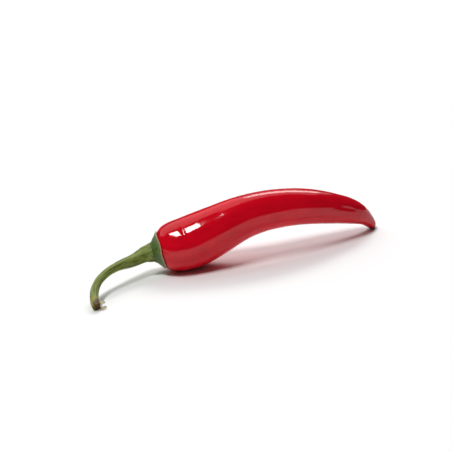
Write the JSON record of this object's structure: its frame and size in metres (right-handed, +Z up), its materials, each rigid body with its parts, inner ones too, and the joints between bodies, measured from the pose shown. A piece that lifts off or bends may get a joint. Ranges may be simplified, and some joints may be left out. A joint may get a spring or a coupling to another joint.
{
  "type": "chilli pepper",
  "caption": "Ripe red chilli pepper with a tapering, slightly arched pod, a green calyx and a curved green stem, lying on its side.",
  "frame": {"origin": "on the surface that the pepper lies on, in the middle of its footprint's bounding box", "axes": "+X from the stem towards the pod's tip, along the longest extent; +Z up; the stem's cut end lies towards -Y"},
  "size_m": [0.1512, 0.0397, 0.0324],
  "materials": {
    "pod_skin": "gloss",
    "calyx_green": "satin",
    "stem_green": "satin",
    "dry_skin": "matte"
  },
  "bodies": {
    "root": {"pod": "pod_skin", "calyx": "calyx_green", "stem": "stem_green", "dry_flake_upper": "dry_skin", "dry_flake_lower": "dry_skin"}
  },
  "joints": []
}
